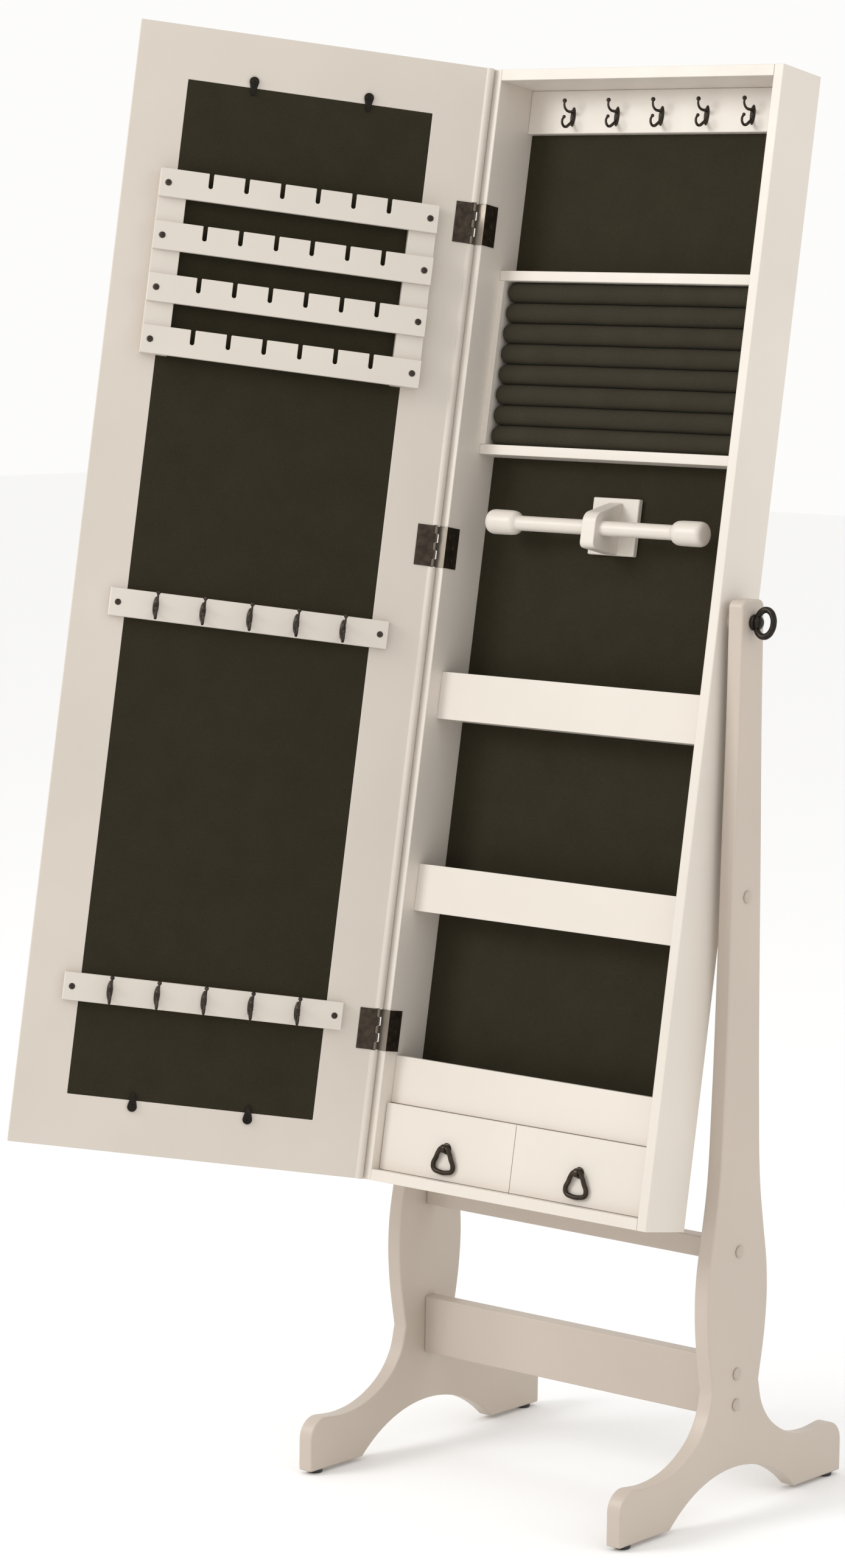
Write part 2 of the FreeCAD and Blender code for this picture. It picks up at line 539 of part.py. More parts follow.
# ---------------------------------------------------------------- hinges
# The case leaf folds over the front edge and lies on the inside wall; five knuckles alternate.
case_leaves = []
door_leaves = []
pins = []
STEP = HINGE_L / 5
for w in HINGE_W:
    w0 = w - HINGE_L / 2
    w1 = w + HINGE_L / 2
    case_leaf = [box(PIN_U + 2.0, -IN + LEAF_T, -LEAF_T, 0, w0, w1),
                 box(-IN, -IN + LEAF_T, -LEAF_T, 20, w0, w1)]
    door_leaf = [box(PIN_U + 2.0, PIN_U + 20, INNER, INNER + LEAF_T, w0, w1)]
    for k in range(5):
        a, b = w0 + k * STEP + 0.15, w0 + (k + 1) * STEP - 0.15
        knuckle = rod(KNUCKLE_R, (PIN_U, PIN_V, a), (PIN_U, PIN_V, b))
        if k % 2:
            door_leaf += [knuckle, box(PIN_U - 0.5, PIN_U + 2.2, INNER, INNER + LEAF_T, a, b)]
        else:
            case_leaf += [knuckle, box(PIN_U + 0.2, PIN_U + 2.2, -LEAF_T, 0, a, b),
                          box(PIN_U + 0.2, PIN_U + 1.2, PIN_V + 1.6, 0, a, b)]
    bore = rod(PIN_R + RUNNING, (PIN_U, PIN_V, w0 - 1), (PIN_U, PIN_V, w1 + 1))
    case_leaves.append(joined(case_leaf).cut(bore))
    door_leaves.append(joined(door_leaf).cut(bore))
    pins.append(rod(PIN_R, (PIN_U, PIN_V, w0 - 0.4), (PIN_U, PIN_V, w1 + 0.4)))
on_case("hinge_case_leaves", group(case_leaves))
on_door("hinge_door_leaves", group(door_leaves))
on_case("hinge_pins", group(pins))

# ---------------------------------------------------------------- files
os.makedirs("parts", exist_ok=True)
for name, shape in nodes.items():
    shape.exportStep("parts/" + name + ".step")
whole = Part.makeCompound(list(nodes.values())).BoundBox
print(len(nodes), "nodes", [round(v, 1) for v in (whole.XMin, whole.XMax, whole.YMin, whole.YMax,
                                                   whole.ZMin, whole.ZMax)])
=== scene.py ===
import math
import bpy
from mathutils import Matrix, Vector


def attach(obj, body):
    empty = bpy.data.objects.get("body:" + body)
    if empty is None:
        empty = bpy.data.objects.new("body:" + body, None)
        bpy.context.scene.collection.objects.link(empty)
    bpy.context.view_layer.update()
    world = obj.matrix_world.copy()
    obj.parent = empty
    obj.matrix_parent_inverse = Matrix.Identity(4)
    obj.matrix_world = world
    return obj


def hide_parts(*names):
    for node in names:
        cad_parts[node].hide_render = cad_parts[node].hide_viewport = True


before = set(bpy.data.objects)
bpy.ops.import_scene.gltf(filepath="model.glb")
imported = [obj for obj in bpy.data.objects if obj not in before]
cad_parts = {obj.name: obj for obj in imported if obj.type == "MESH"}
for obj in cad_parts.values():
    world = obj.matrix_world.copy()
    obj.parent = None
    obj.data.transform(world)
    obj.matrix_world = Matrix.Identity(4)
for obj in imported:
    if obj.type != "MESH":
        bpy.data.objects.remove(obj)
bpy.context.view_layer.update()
bpy.ops.object.select_all(action="DESELECT")

# ---- the two sides of the stand ----
# Each side is one painted board, sawn to a slender post that swells above an arched foot.
# The outline is the same front and back, and both faces are routed with a small round-over.
# Outline points are (y, z) on the front half, from the crown down to the sole and its arch.
ON_STAND = Matrix.Translation((0.1046, 0.1055, 0))
SIDE_X0, SIDE_X1 = 0.198, 0.216
CROWN = [(0.011, 0.956), (0.01666, 0.95366), (0.019, 0.948)]
POST = [(0.019, 0.948), (0.0205, 0.820), (0.024, 0.690), (0.027, 0.560), (0.031, 0.440), (0.0375, 0.339),
        (0.0445, 0.298), (0.0515, 0.258), (0.0532, 0.226), (0.0505, 0.188), (0.041, 0.135)]
FOOT = [(0.041, 0.135), (0.048, 0.109), (0.062, 0.089), (0.084, 0.073), (0.112, 0.062), (0.144, 0.058),
        (0.174, 0.0605)]
TOE = [(0.174, 0.0605), (0.1905, 0.054), (0.197, 0.038)]
SOLE_Z = 0.004
ARCH = [(0.1115, SOLE_Z), (0, 0.0475), (-0.1115, SOLE_Z)]
ROUND_OVER = 0.0022
SHARP = math.radians(40)


def flowing(points, steps=6):
    """A smooth line through the points, as a bent batten gives."""
    line = []
    for i in range(len(points) - 1):
        b, c = Vector(points[i]), Vector(points[i + 1])
        a = Vector(points[i - 1]) if i else b + (b - c)
        d = Vector(points[i + 2]) if i + 2 < len(points) else c + (c - b)
        ab, bc, cd = (b - a).length, (c - b).length, (d - c).length
        leave = ((b - a) / ab * bc + (c - b) / bc * ab) / (ab + bc) * bc
        meet = ((c - b) / bc * cd + (d - c) / cd * bc) / (bc + cd) * bc
        for k in range(steps):
            t = k / steps
            line.append((2 * t**3 - 3 * t**2 + 1) * b + (t**3 - 2 * t**2 + t) * leave
                        + (3 * t**2 - 2 * t**3) * c + (t**3 - t**2) * meet)
    return line + [Vector(points[-1])]


def bow(a, b, c, steps):
    """The arc of a circle from a through b to c."""
    a, b, c = Vector(a), Vector(b), Vector(c)
    p, q = b - a, c - a
    turn = 2 * (p.x * q.y - p.y * q.x)
    middle = a + Vector((q.y * p.dot(p) - p.y * q.dot(q), p.x * q.dot(q) - q.x * p.dot(p))) / turn
    start = (a - middle).to_3d()
    sweep = math.atan2((a - middle).cross(c - middle), (a - middle).dot(c - middle))
    return [middle + (Matrix.Rotation(sweep * k / steps, 3, "Z") @ start).to_2d() for k in range(steps + 1)]


def sawn_board(name, outline, x0, x1):
    """A board standing in the YZ plane, cut to an outline and as thick as x0 to x1."""
    bpy.ops.mesh.primitive_circle_add(vertices=len(outline), radius=0.1, fill_type="NGON")
    board = bpy.context.object
    board.name = board.data.name = name
    for vertex, point in zip(board.data.vertices, outline):
        vertex.co = (x0, point[0], point[1])
    bpy.ops.object.mode_set(mode="EDIT")
    bpy.ops.mesh.select_all(action="SELECT")
    bpy.ops.mesh.extrude_region_move(TRANSFORM_OT_translate={"value": (x1 - x0, 0, 0)})
    bpy.ops.mesh.select_all(action="SELECT")
    bpy.ops.mesh.normals_make_consistent(inside=False)
    bpy.ops.object.mode_set(mode="OBJECT")
    return board


def settle(piece, place):
    """Puts a piece in its place on the armoire, with its place in its mesh."""
    bpy.context.view_layer.update()
    piece.data.transform(place @ piece.matrix_world)
    piece.matrix_world = Matrix.Identity(4)
    return piece


def pick(piece):
    """Leaves this one piece selected."""
    bpy.ops.object.select_all(action="DESELECT")
    piece.select_set(True)
    bpy.context.view_layer.objects.active = piece
    return piece


def modify(piece, kind, **values):
    """Adds a modifier to the active piece, sets its values and applies it."""
    bpy.ops.object.modifier_add(type=kind)
    change = piece.modifiers[-1]
    for name, value in values.items():
        setattr(change, name, value)
    bpy.ops.object.modifier_apply(modifier=change.name)


def ease(piece, width, steps=2):
    """Takes the sharpness off the edges, and lets the flat faces stay flat."""
    pick(piece)
    if width:
        modify(piece, "BEVEL", width=width, segments=steps, limit_method="ANGLE", angle_limit=SHARP,
               use_clamp_overlap=False)
    bpy.ops.object.shade_smooth_by_angle(angle=SHARP)
    modify(piece, "WEIGHTED_NORMAL", keep_sharp=True)
    return piece


def material(name):
    """A new material, with its nodes, its links, its shader and its coordinates."""
    mat = bpy.data.materials.new(name)
    mat.use_nodes = True
    nodes, links = mat.node_tree.nodes, mat.node_tree.links
    return mat, nodes, links, nodes["Principled BSDF"], nodes.new("ShaderNodeTexCoord")


def fill(node, **values):
    """Sets a node's inputs by name, each space in a name written as an underscore."""
    for name, value in values.items():
        node.inputs[name.replace("_", " ")].default_value = value
    return node


def shades(nodes, tone, dark, light, low=0.0, high=1.0):
    """A colour ramp between a darker and a lighter shade of a tone."""
    tint = nodes.new("ShaderNodeValToRGB")
    for step, spot, gain in zip(tint.color_ramp.elements, (low, high), (dark, light)):
        step.position = spot
        step.color = [min(1, c * gain) for c in tone] + [1]
    return tint


def paint(name, tone, rough=0.42):
    """Sprayed cream paint: a slow drift of tone, a fine spray texture and an uneven satin."""
    mat, nodes, links, shader, place = material(name)
    drift = fill(nodes.new("ShaderNodeTexNoise"), Scale=6.0, Detail=3.0)
    tint = shades(nodes, tone, 0.965, 1.02, 0.3, 0.7)
    spray = fill(nodes.new("ShaderNodeTexNoise"), Scale=900.0, Detail=2.0)
    flow = fill(nodes.new("ShaderNodeTexNoise"), Scale=60.0, Detail=2.0)
    satin = fill(nodes.new("ShaderNodeMapRange"), To_Min=rough - 0.06, To_Max=rough + 0.06)
    fine = fill(nodes.new("ShaderNodeBump"), Strength=0.12, Distance=0.0002)
    broad = fill(nodes.new("ShaderNodeBump"), Strength=0.10, Distance=0.0008)
    for noise in (drift, spray, flow):
        links.new(place.outputs["Object"], noise.inputs["Vector"])
    links.new(drift.outputs["Fac"], tint.inputs["Fac"])
    links.new(tint.outputs["Color"], shader.inputs["Base Color"])
    links.new(flow.outputs["Fac"], satin.inputs["Value"])
    links.new(satin.outputs["Result"], shader.inputs["Roughness"])
    links.new(flow.outputs["Fac"], broad.inputs["Height"])
    links.new(spray.outputs["Fac"], fine.inputs["Height"])
    links.new(broad.outputs["Normal"], fine.inputs["Normal"])
    links.new(fine.outputs["Normal"], shader.inputs["Normal"])
    return mat


def wear(piece, mat, body, slot, *nodes):
    """Gives a piece its finish, its body and the nodes it stands for; the slot argument is not used."""
    piece.data.materials.clear()
    piece.data.materials.append(mat)
    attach(piece, body)
    if nodes:
        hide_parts(*nodes)
    return piece


STAND_CREAM = (0.515, 0.443, 0.376)
stand_paint = paint("stand_cream_paint", STAND_CREAM)
half = bow(*CROWN, 6)[:-1] + flowing(POST)[:-1] + flowing(FOOT)[:-1]
half += bow(*TOE, 8) + [Vector((TOE[-1][0], SOLE_Z))]
outline = half + bow(*ARCH, 28) + [Vector((-p.x, p.y)) for p in reversed(half)]
for hand, x0, x1 in (("right", SIDE_X0, SIDE_X1), ("left", -SIDE_X1, -SIDE_X0)):
    board = settle(sawn_board(f"stand_board_{hand}", outline, x0, x1), ON_STAND)
    ease(board, ROUND_OVER, 3)
    wear(board, stand_paint, "stand", "stand_paint", f"stand_side_{hand}")


# ---- the two cross boards ----
# Plain painted boards that tie the sides together under the case, screwed through from outside.
def plank(name, low, high):
    """A sawn board between two corners."""
    bpy.ops.mesh.primitive_cube_add(size=1, location=[(a + b) / 2 for a, b in zip(low, high)])
    board = bpy.context.object
    board.name = board.data.name = name
    board.scale = [b - a for a, b in zip(low, high)]
    bpy.ops.object.transform_apply(location=True, rotation=True, scale=True)
    return board


CROSS_Y = 0.009
for name, z0, z1 in (("lower", 0.101, 0.164), ("upper", 0.267, 0.289)):
    board = settle(plank(f"cross_board_{name}", (-SIDE_X0, -CROSS_Y, z0), (SIDE_X0, CROSS_Y, z1)), ON_STAND)
    ease(board, 0.0016, 3)
    wear(board, stand_paint, "stand", "stand_paint", f"crossbar_{name}")


# ---- the cross boards' bolts and their caps ----
# Zinc-plated bolts sit in counterbores, and a domed cream plastic cap is pushed into each one.
# A fourth cap on each side plugs a spare hole higher up the post.
def turned(name, stations, sides=32):
    """A round piece along Z from (height, radius) stations, drawn out and resized step by step."""
    z, r = stations[0]
    bpy.ops.mesh.primitive_circle_add(vertices=sides, radius=r, fill_type="NGON", location=(0, 0, z))
    piece = bpy.context.object
    piece.name = piece.data.name = name
    bpy.ops.object.transform_apply(location=True, rotation=True, scale=True)
    bpy.ops.object.mode_set(mode="EDIT")
    bpy.ops.mesh.select_all(action="SELECT")
    for z1, r1 in stations[1:]:
        bpy.ops.mesh.extrude_region_move(TRANSFORM_OT_translate={"value": (0, 0, z1 - z)})
        bpy.ops.transform.resize(value=(r1 / r, r1 / r, 1), center_override=(0, 0, z1))
        z, r = z1, r1
    bpy.ops.mesh.select_all(action="SELECT")
    bpy.ops.mesh.normals_make_consistent(inside=False)
    bpy.ops.object.mode_set(mode="OBJECT")
    return piece


def aim(x, y, z, toward):
    """A place at a point, with Z turned to a direction."""
    return Matrix.Translation((x, y, z)) @ Vector(toward).to_track_quat("Z", "Y").to_matrix().to_4x4()


def copies(master, places):
    """One piece from a shape repeated at each place, each copy with its own mesh."""
    made = []
    for place in places:
        one = master.copy()
        one.data = master.data.copy()
        bpy.context.collection.objects.link(one)
        made.append(settle(one, place))
    bpy.ops.object.select_all(action="DESELECT")
    for one in made:
        one.select_set(True)
    bpy.context.view_layer.objects.active = made[0]
    if len(made) > 1:
        bpy.ops.object.join()
    name = master.name
    bpy.data.objects.remove(master)
    made[0].name = made[0].data.name = name
    return made[0]


def plastic(name, tone, rough):
    """Moulded plastic with a slight ripple and a little change of tone."""
    mat, nodes, links, shader, place = material(name)
    ripple = fill(nodes.new("ShaderNodeTexNoise"), Scale=220.0)
    tint = shades(nodes, tone, 0.9, 1.08)
    skin = fill(nodes.new("ShaderNodeBump"), Strength=0.15, Distance=0.0003)
    fill(shader, Roughness=rough)
    links.new(place.outputs["Object"], ripple.inputs["Vector"])
    links.new(ripple.outputs["Fac"], tint.inputs["Fac"])
    links.new(tint.outputs["Color"], shader.inputs["Base Color"])
    links.new(ripple.outputs["Fac"], skin.inputs["Height"])
    links.new(skin.outputs["Normal"], shader.inputs["Normal"])
    return mat


def finish_node(mat, *nodes):
    """Gives CAD nodes whose shape is right their finish."""
    for node in nodes:
        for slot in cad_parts[node].material_slots:
            slot.material = mat


def plated(name, tone, rough):
    """Bright plated steel with a faint ripple."""
    mat = plastic(name, tone, rough)
    fill(mat.node_tree.nodes["Principled BSDF"], Metallic=1.0)
    return mat


CAP_HEIGHTS = (0.115, 0.148, 0.278, 0.650)
cap_shape = turned("bolt_caps_domed", [(-0.003, 0.0058), (0.0000, 0.0058), (0.0003, 0.0063),
                                       (0.0010, 0.0065), (0.0018, 0.0061), (0.0025, 0.0050),
                                       (0.0029, 0.0032), (0.0030, 0.0010)])
ease(cap_shape, 0)
caps = copies(cap_shape, [ON_STAND @ aim(s * SIDE_X1, 0, z, (s, 0, 0)) for s in (1, -1) for z in CAP_HEIGHTS])
wear(caps, plastic("cap_cream_plastic", (0.46, 0.39, 0.33), 0.30), "stand", "cap_plastic", "bolt_caps")
finish_node(plated("bolt_zinc", (0.56, 0.56, 0.55), 0.32), "crossbar_bolts")

# ---- the glides under the feet ----
# Four black plastic buttons, nailed under the ends of the feet.
GLIDE_X, GLIDE_Y = 0.207, 0.180
glide_line = [(0.0, 0.0064), (0.0005, 0.0075), (0.0012, 0.0080), (SOLE_Z, 0.0080)]
glide_shape = turned("glides_black", glide_line, 28)
ease(glide_shape, 0)
glides = copies(glide_shape, [ON_STAND @ Matrix.Translation((x, y, 0)) for x in (-GLIDE_X, GLIDE_X)
                              for y in (-GLIDE_Y, GLIDE_Y)])
glide_black = plastic("glide_black_plastic", (0.022, 0.021, 0.020), 0.45)
wear(glides, glide_black, "stand", "glide_plastic", "floor_glides")

# ---- the spacers on the pivot ----
# A cream plastic washer between each post and the case keeps the paint from rubbing.
finish_node(plastic("spacer_cream_plastic", (0.46, 0.40, 0.34), 0.5), "pivot_spacers")
finish_node(plated("insert_steel", (0.5, 0.5, 0.49), 0.35), "pivot_inserts")

# ---- the case ----
# Two sides, a top and a bottom of painted board, glued into a shallow box that leans back.
# A thin back board sits in a rebate and is held by small screws.
# Places on the case are (u, v, w): across, back and up from the middle of its front's lower edge.
PIVOT_Z, PIVOT_V, PIVOT_W = 0.933, 0.025, 0.630
LEAN = math.radians(9.5)
INSIDE_U, FACE_V, BACK_V = 0.178, 0.065, 0.068
CASE = ON_STAND @ Matrix.Translation((0, 0, PIVOT_Z)) @ Matrix.Rotation(-LEAN, 4, "X")
CASE = CASE @ Matrix.Translation((0, -PIVOT_V, -PIVOT_W))


def welded(name, node):
    """A copy of a CAD node with its loose triangles welded into whole faces."""
    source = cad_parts[node]
    piece = source.copy()
    piece.data = source.data.copy()
    piece.name = piece.data.name = name
    for key in list(piece.keys()):
        del piece[key]
    bpy.context.collection.objects.link(piece)
    piece.parent = None
    piece.matrix_world = Matrix.Identity(4)
    pick(piece)
    bpy.ops.object.mode_set(mode="EDIT")
    bpy.ops.mesh.select_all(action="SELECT")
    bpy.ops.mesh.remove_doubles(threshold=0.00001)
    bpy.ops.mesh.dissolve_limited(angle_limit=math.radians(1))
    bpy.ops.object.mode_set(mode="OBJECT")
    return piece


CREAM = (0.690, 0.630, 0.560)
case_paint = paint("case_cream_paint", CREAM)
for name in ("side_right", "side_left", "top", "bottom"):
    board = ease(welded(f"case_{name}_board", f"case_{name}"), 0.0006, 2)
    wear(board, case_paint, "case", "case_paint", f"case_{name}")
finish_node(paint("back_board_paint", (0.66, 0.60, 0.53), 0.55), "case_back")

# ---- the felt in the case ----
# Dark olive-brown felt is glued over the back board between the shelves and on each bin's floor.
# Each piece is cut a hair small, and the glue leaves its face not quite flat.
FELT_TONE = (0.0265, 0.0222, 0.0122)


def felt(name, tone=FELT_TONE):
    """Short matted felt: fine fibres, small flecks and a soft sheen."""
    mat, nodes, links, shader, place = material(name)
    fill(shader, Roughness=0.95, Specular_IOR_Level=0.14, Sheen_Weight=0.045, Sheen_Roughness=0.5,
         Sheen_Tint=(0.55, 0.50, 0.40, 1))
    fibre = fill(nodes.new("ShaderNodeTexNoise"), Scale=1400.0, Detail=3.0, Distortion=1.2)
    nap = fill(nodes.new("ShaderNodeTexNoise"), Scale=28.0, Detail=4.0)
    mixed = nodes.new("ShaderNodeMath")
    mixed.operation = "MULTIPLY_ADD"
    mixed.inputs[1].default_value = 0.22
    tint = shades(nodes, tone, 0.70, 1.30, 0.40, 0.82)
    fuzz = fill(nodes.new("ShaderNodeBump"), Strength=0.6, Distance=0.0003)
    for noise in (fibre, nap):
        links.new(place.outputs["Object"], noise.inputs["Vector"])
    links.new(nap.outputs["Fac"], mixed.inputs[0])
    links.new(fibre.outputs["Fac"], mixed.inputs[2])
    links.new(mixed.outputs[0], tint.inputs["Fac"])
    links.new(tint.outputs["Color"], shader.inputs["Base Color"])
    links.new(fibre.outputs["Fac"], fuzz.inputs["Height"])
    links.new(fuzz.outputs["Normal"], shader.inputs["Normal"])
    return mat


def felt_sheet(name, width, length, thick=0.0011):
    """A cut sheet of felt in the XY plane, its face rising a little here and there."""
    across, along = (max(4, round(side / 0.012)) for side in (width, length))
    bpy.ops.mesh.primitive_grid_add(x_subdivisions=across, y_subdivisions=along, size=1)
    sheet = bpy.context.object
    sheet.name = sheet.data.name = name
    sheet.scale = (width, length, 1)
    bpy.ops.object.transform_apply(location=True, rotation=True, scale=True)
    for v in sheet.data.vertices:
        edge = min(width / 2 - abs(v.co.x), length / 2 - abs(v.co.y))
        rise = math.sin(v.co.x * 41 + v.co.y * 23) * math.sin(v.co.y * 37 - v.co.x * 13 + 1.1)
        v.co.z = 0.00012 * (1 + rise) * min(1, edge / 0.01)
    modify(sheet, "SOLIDIFY", thickness=thick, offset=1.0)
    ease(sheet, 0.0003, 1)
    return sheet


felt_mat = felt("case_felt")
FELT_WIDE, FELT_TRIM, BIN_FELT_DEEP, BIN_FELT_V = 0.3554, 0.0006, 0.0354, 0.0455
UPRIGHT = Matrix.Rotation(math.radians(90), 4, "X")
for name, w0, w1 in (("low", 0.0925, 0.292), ("middle", 0.300, 0.500), ("bracelet", 0.508, 0.7895),
                     ("top", 0.989, 1.141)):
    flat = (FELT_WIDE, w1 - w0 - FELT_TRIM)
    sheet = felt_sheet(f"back_felt_{name}", *flat)
    settle(sheet, CASE @ Matrix.Translation((0, FACE_V, (w0 + w1) / 2)) @ UPRIGHT)
    wear(sheet, felt_mat, "case", "felt", "felt_linings")
for name, w, floor in (("high", 0.508, "bin_floor_upper"), ("low", 0.300, "bin_floor_lower"),
                       ("bottom", 0.0925, "drawer_shelf")):
    flat = (FELT_WIDE, BIN_FELT_DEEP)
    sheet = felt_sheet(f"bin_felt_{name}", *flat)
    settle(sheet, CASE @ Matrix.Translation((0, BIN_FELT_V, w)))
    wear(sheet, felt_mat, "case", "felt", "felt_linings")

# ---- the shelves and the boards beside the ring rolls ----
# Two painted shelves stop short of the case's front, so that what hangs on the door has room.
# A thin board on each side closes the space between them.
SHELF_V, SHELF_THICK = 0.0375, 0.011
for name, w in (("lower", 0.7895), ("upper", 0.978)):
    low, high = (-INSIDE_U, SHELF_V, w), (INSIDE_U, FACE_V, w + SHELF_THICK)
    board = settle(plank(f"shelf_{name}_board", low, high), CASE)
    ease(board, 0.0010, 2)
    wear(board, case_paint, "case", "case_paint", f"shelf_{name}")
finish_node(paint("cheek_cream_paint", CREAM), "roll_cheeks")

# ---- the ring rolls ----
# Eight foam rolls are wrapped in felt and laid tightly between the shelves.
# Rings are pushed into the gaps, so each roll is soft, a little uneven and rounded at its ends.
ROLL_LONG, ROLL_PITCH, ROLL_FOOT = 0.3396, 0.022175, 0.8006
ROLL_RADIUS, ROLL_DEEP, ROLL_V = 0.0098, 0.0243, 0.0522
PUFF_CAP = 0.0022


def length(piece, axis):
    """How far a piece reaches along one of its own axes."""
    spots = [v.co[axis] for v in piece.data.vertices]
    return max(spots) - min(spots)


roll_felt = felt("roll_felt", (0.036, 0.031, 0.020))
bpy.ops.mesh.primitive_cylinder_add(vertices=28, radius=ROLL_RADIUS, depth=ROLL_LONG - 0.004,
                                    rotation=(0, math.pi / 2, 0))
roll = bpy.context.object
roll.name = roll.data.name = "ring_roll"
bpy.ops.object.transform_apply(location=True, rotation=True, scale=True)
modify(roll, "BEVEL", width=0.005, segments=3)
modify(roll, "REMESH", mode="VOXEL", voxel_size=0.0036)
started = [v.co.copy() for v in roll.data.vertices]
bpy.ops.object.modifier_add(type="CLOTH")
stuffing = roll.modifiers[-1].settings
stuffing.use_pressure, stuffing.uniform_pressure_force = True, 4.0
stuffing.effector_weights.gravity = 0
for number in range(1, 15):
    bpy.context.scene.frame_set(number)
bpy.ops.object.modifier_apply(modifier=roll.modifiers[-1].name)
bpy.context.scene.frame_set(1)
for vertex, was in zip(roll.data.vertices, started):
    step = vertex.co - was
    if step.length > PUFF_CAP:
        step.length = PUFF_CAP
    vertex.co = was + step
    x, y, z = vertex.co
    wander = math.sin(x * 61 + 0.7) * 0.00035 + math.sin(x * 143 + 2.1) * 0.00018
    vertex.co.y = y * 1.10 + wander * (1 if y < 0 else 0)
modify(roll, "SUBSURF", levels=1, render_levels=1)
wanted = (ROLL_LONG, ROLL_DEEP, ROLL_PITCH + 0.0003)
roll.data.transform(Matrix.Diagonal([want / length(roll, axis) for axis, want in enumerate(wanted)] + [1]))
bpy.ops.object.shade_smooth()
for number in range(8):
    one = roll.copy()
    one.data = roll.data.copy()
    one.name = one.data.name = f"ring_roll_{number + 1}"
    bpy.context.collection.objects.link(one)
    shift = 0.0004 * math.sin(number * 2.3)
    turn = Matrix.Rotation(math.pi * (number % 2), 4, "Y")
    middle = (0, ROLL_V + shift, ROLL_FOOT + (number + 0.5) * ROLL_PITCH)
    settle(one, CASE @ Matrix.Translation(middle) @ turn)
    wear(one, roll_felt, "case", "felt_rolls", "ring_rolls")
bpy.data.objects.remove(roll)

# ---- the bins ----
# Three narrow trays: a floor board, and a tall painted lip set back from the case's front.
# The lowest floor is the board over the drawers.
LIP_V0, LIP_V1, LIP_TALL = 0.0195, 0.0275, 0.051
for name, w in (("upper", 0.500), ("lower", 0.292), ("bottom", 0.0845)):
    lip = settle(plank(f"bin_{name}_front", (-INSIDE_U, LIP_V0, w), (INSIDE_U, LIP_V1, w + LIP_TALL)), CASE)
    ease(lip, 0.0009, 2)
    wear(lip, case_paint, "case", "case_paint", f"bin_lip_{name}")
finish_node(paint("bin_floor_paint", CREAM),
            "bin_floor_upper", "bin_floor_lower", "drawer_shelf", "drawer_divider")


# ---- the hook strip and its hooks ----
# A painted batten across the back, right under the case's top, carries five cast double hooks.
# Each has a leaf-shaped back with two screws, a prong curling up and a longer one curling under.
def bronze(name, tone=(0.030, 0.024, 0.019), rough=0.42):
    """Dark bronzed metal, worn a little brighter in patches."""
    mat, nodes, links, shader, place = material(name)
    fill(shader, Metallic=0.65, Specular_IOR_Level=0.32)
    patches = fill(nodes.new("ShaderNodeTexNoise"), Scale=140.0, Detail=4.0)
    tint = shades(nodes, tone, 1.0, 2.4, 0.35, 0.8)
    dull = fill(nodes.new("ShaderNodeMapRange"), To_Min=rough + 0.10, To_Max=rough - 0.12)
    cast = fill(nodes.new("ShaderNodeBump"), Strength=0.25, Distance=0.0003)
    links.new(place.outputs["Object"], patches.inputs["Vector"])
    links.new(patches.outputs["Fac"], tint.inputs["Fac"])
    links.new(patches.outputs["Fac"], dull.inputs["Value"])
    links.new(patches.outputs["Fac"], cast.inputs["Height"])
    links.new(tint.outputs["Color"], shader.inputs["Base Color"])
    links.new(dull.outputs["Result"], shader.inputs["Roughness"])
    links.new(cast.outputs["Normal"], shader.inputs["Normal"])
    return mat


def bent_wire(name, points, radii, closed=False):
    """A smooth round wire through the points, thinning as its radii do."""
    bpy.ops.curve.primitive_bezier_curve_add()
    wire = bpy.context.object
    wire.name = name
    line = wire.data.splines[0]
    line.bezier_points.add(len(points) - 2)
    for knot, point, r in zip(line.bezier_points, points, radii):
        knot.co = point
        knot.handle_left_type = knot.handle_right_type = "AUTO"
        knot.radius = r
    line.use_cyclic_u = closed
    wire.data.dimensions = "3D"
    wire.data.bevel_depth, wire.data.bevel_resolution, wire.data.resolution_u = 1.0, 3, 8
    wire.data.use_fill_caps = not closed
    bpy.ops.object.convert(target="MESH")
    wire = bpy.context.object
    wire.data.name = name
    bpy.ops.object.shade_smooth_by_angle(angle=math.radians(60))
    return wire


def ball(name, centre, radius, scale=(1, 1, 1)):
    """A small cast ball, or a lens when it is scaled."""
    bpy.ops.mesh.primitive_uv_sphere_add(segments=20, ring_count=12, radius=radius, location=centre)
    one = bpy.context.object
    one.name = one.data.name = name
    one.scale = scale
    bpy.ops.object.transform_apply(location=True, rotation=True, scale=True)
    bpy.ops.object.shade_smooth()
    return one


def made_one(name, *parts):
    """Joins cast or welded parts into one piece."""
    bpy.ops.object.select_all(action="DESELECT")
    for part in parts:
        part.select_set(True)
    bpy.context.view_layer.objects.active = parts[0]
    bpy.ops.object.join()
    parts[0].name = parts[0].data.name = name
    return parts[0]


